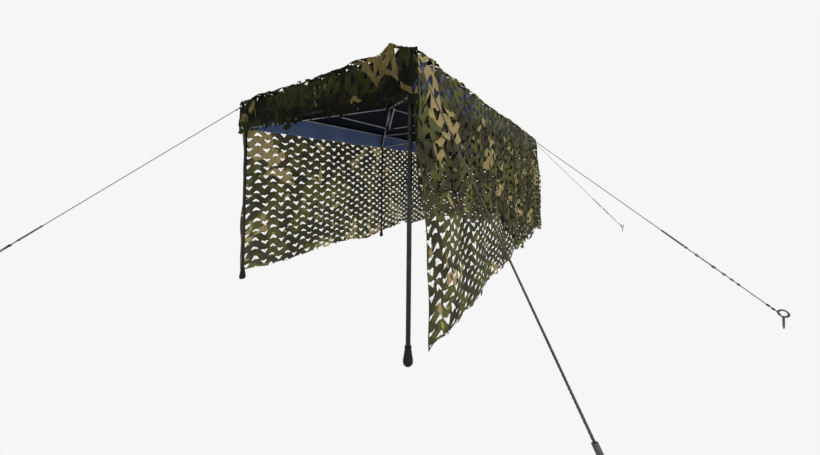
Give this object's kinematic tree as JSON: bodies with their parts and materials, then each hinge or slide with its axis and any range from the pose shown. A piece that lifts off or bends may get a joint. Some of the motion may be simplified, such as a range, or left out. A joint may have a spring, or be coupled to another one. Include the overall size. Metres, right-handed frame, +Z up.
{
  "type": "field blind",
  "caption": "Walk-in field blind: rectangular legged frame with a blue fabric canopy, leaf-cut camouflage netting, telescoping legs and guyed corners.",
  "frame": {"origin": "centre of the leg rectangle, on the ground under the feet", "axes": "+X to the right seen from the open front, +Y from the open front to the rear, +Z up"},
  "size_m": [7.3262, 9.1524, 2.258],
  "materials": {
    "leg_tube": "satin dark grey-brown powder coat",
    "frame_tube": "satin grey powder coat",
    "bracket_plastic": "matte black nylon",
    "collar_plastic": "matte black nylon",
    "foot_rubber": "matte black rubber",
    "zinc_steel": "dull zinc",
    "peg_steel": "dull steel",
    "rope": "braided grey cord",
    "sleeve_rubber": "matte rubber tube",
    "canopy_fabric": "coated blue polyester",
    "net_fabric": "leaf-cut camouflage fabric"
  },
  "bodies": {
    "frame": {"upper_posts": "leg_tube", "front_rail": "frame_tube", "rear_rail": "frame_tube", "cross_rail": "frame_tube", "left_rail_front": "frame_tube", "left_rail_rear": "frame_tube", "right_rail_front": "frame_tube", "right_rail_rear": "frame_tube", "corner_brackets": "bracket_plastic", "mid_brackets": "bracket_plastic", "rib_rings": "bracket_plastic", "upper_hubs": "bracket_plastic", "lower_hubs": "bracket_plastic", "rib_blocks": "bracket_plastic", "mast_caps": "bracket_plastic", "ribs_front_bay": "frame_tube", "ribs_rear_bay": "frame_tube", "links_front_bay": "frame_tube", "links_rear_bay": "frame_tube", "mast_front": "frame_tube", "mast_rear": "frame_tube", "rib_bolts": "zinc_steel", "guy_eyes": "zinc_steel", "guy_ropes": "rope", "guy_sleeves": "sleeve_rubber", "turnbuckle_rods": "zinc_steel", "guy_tails": "rope", "ground_pegs": "peg_steel", "canopy_cover": "canopy_fabric", "net_roof": "net_fabric", "net_right_side": "net_fabric", "net_right_overhang": "net_fabric", "net_left_side": "net_fabric", "net_rear": "net_fabric", "net_front_valance": "net_fabric"},
    "leg_front_right": {"leg_front_right": "leg_tube", "foot_front_right": "foot_rubber"},
    "collar_front_right": {"twist_collar_front_right": "collar_plastic"},
    "tb_front_right": {"turnbuckle_front_right": "zinc_steel"},
    "leg_front_left": {"leg_front_left": "leg_tube", "foot_front_left": "foot_rubber"},
    "collar_front_left": {"twist_collar_front_left": "collar_plastic"},
    "tb_front_left": {"turnbuckle_front_left": "zinc_steel"},
    "leg_mid_right": {"leg_mid_right": "leg_tube", "foot_mid_right": "foot_rubber"},
    "collar_mid_right": {"twist_collar_mid_right": "collar_plastic"},
    "tb_mid_right": {"turnbuckle_mid_right": "zinc_steel"},
    "leg_mid_left": {"leg_mid_left": "leg_tube", "foot_mid_left": "foot_rubber"},
    "collar_mid_left": {"twist_collar_mid_left": "collar_plastic"},
    "tb_mid_left": {"turnbuckle_mid_left": "zinc_steel"},
    "leg_rear_right": {"leg_rear_right": "leg_tube", "foot_rear_right": "foot_rubber"},
    "collar_rear_right": {"twist_collar_rear_right": "collar_plastic"},
    "tb_rear_right": {"turnbuckle_rear_right": "zinc_steel"},
    "leg_rear_left": {"leg_rear_left": "leg_tube", "foot_rear_left": "foot_rubber"},
    "collar_rear_left": {"twist_collar_rear_left": "collar_plastic"},
    "tb_rear_left": {"turnbuckle_rear_left": "zinc_steel"}
  },
  "joints": [
    {"name": "leg_extend_front_right", "type": "slide", "parent": "frame", "child": "leg_front_right", "axis": [0, 0, -1], "range_m": [0, 0.4]},
    {"name": "collar_twist_front_right", "type": "hinge", "parent": "leg_front_right", "child": "collar_front_right", "pos_m": [1.22, -2.59, 1.8118], "axis": [0, 0, 1], "range_deg": [0, 90]},
    {"name": "turnbuckle_spin_front_right", "type": "hinge", "parent": "frame", "child": "tb_front_right", "pos_m": [2.42034, -3.3937, 0.33998], "axis": [0.5141, -0.342, -0.7866], "range_deg": [-1080, 1080]},
    {"name": "leg_extend_front_left", "type": "slide", "parent": "frame", "child": "leg_front_left", "axis": [0, 0, -1], "range_m": [0, 0.4]},
    {"name": "collar_twist_front_left", "type": "hinge", "parent": "leg_front_left", "child": "collar_front_left", "pos_m": [-1.22, -2.59, 1.8118], "axis": [0, 0, 1], "range_deg": [0, 90]},
    {"name": "turnbuckle_spin_front_left", "type": "hinge", "parent": "frame", "child": "tb_front_left", "pos_m": [-2.72357, -4.20019, 0.47184], "axis": [-0.5439, -0.5829, -0.6037], "range_deg": [-1080, 1080]},
    {"name": "leg_extend_mid_right", "type": "slide", "parent": "frame", "child": "leg_mid_right", "axis": [0, 0, -1], "range_m": [0, 0.4]},
    {"name": "collar_twist_mid_right", "type": "hinge", "parent": "leg_mid_right", "child": "collar_mid_right", "pos_m": [1.22, 0, 1.8118], "axis": [0, 0, 1], "range_deg": [0, 90]},
    {"name": "turnbuckle_spin_mid_right", "type": "hinge", "parent": "frame", "child": "tb_mid_right", "pos_m": [3.20266, -0.3531, 0.46899], "axis": [0.7564, -0.1362, -0.6398], "range_deg": [-1080, 1080]},
    {"name": "leg_extend_mid_left", "type": "slide", "parent": "frame", "child": "leg_mid_left", "axis": [0, 0, -1], "range_m": [0, 0.4]},
    {"name": "collar_twist_mid_left", "type": "hinge", "parent": "leg_mid_left", "child": "collar_mid_left", "pos_m": [-1.22, 0, 1.8118], "axis": [0, 0, 1], "range_deg": [0, 90]},
    {"name": "turnbuckle_spin_mid_left", "type": "hinge", "parent": "frame", "child": "tb_mid_left", "pos_m": [-3.20266, -0.3531, 0.46899], "axis": [-0.7564, -0.1362, -0.6398], "range_deg": [-1080, 1080]},
    {"name": "leg_extend_rear_right", "type": "slide", "parent": "frame", "child": "leg_rear_right", "axis": [0, 0, -1], "range_m": [0, 0.4]},
    {"name": "collar_twist_rear_right", "type": "hinge", "parent": "leg_rear_right", "child": "collar_rear_right", "pos_m": [1.22, 2.59, 1.8118], "axis": [0, 0, 1], "range_deg": [0, 90]},
    {"name": "turnbuckle_spin_rear_right", "type": "hinge", "parent": "frame", "child": "tb_rear_right", "pos_m": [2.68725, 3.41542, 0.46352], "axis": [0.6153, 0.3433, -0.7096], "range_deg": [-1080, 1080]},
    {"name": "leg_extend_rear_left", "type": "slide", "parent": "frame", "child": "leg_rear_left", "axis": [0, 0, -1], "range_m": [0, 0.4]},
    {"name": "collar_twist_rear_left", "type": "hinge", "parent": "leg_rear_left", "child": "collar_rear_left", "pos_m": [-1.22, 2.59, 1.8118], "axis": [0, 0, 1], "range_deg": [0, 90]},
    {"name": "turnbuckle_spin_rear_left", "type": "hinge", "parent": "frame", "child": "tb_rear_left", "pos_m": [-2.72357, 4.20019, 0.47184], "axis": [-0.5439, 0.5829, -0.6037], "range_deg": [-1080, 1080]}
  ]
}
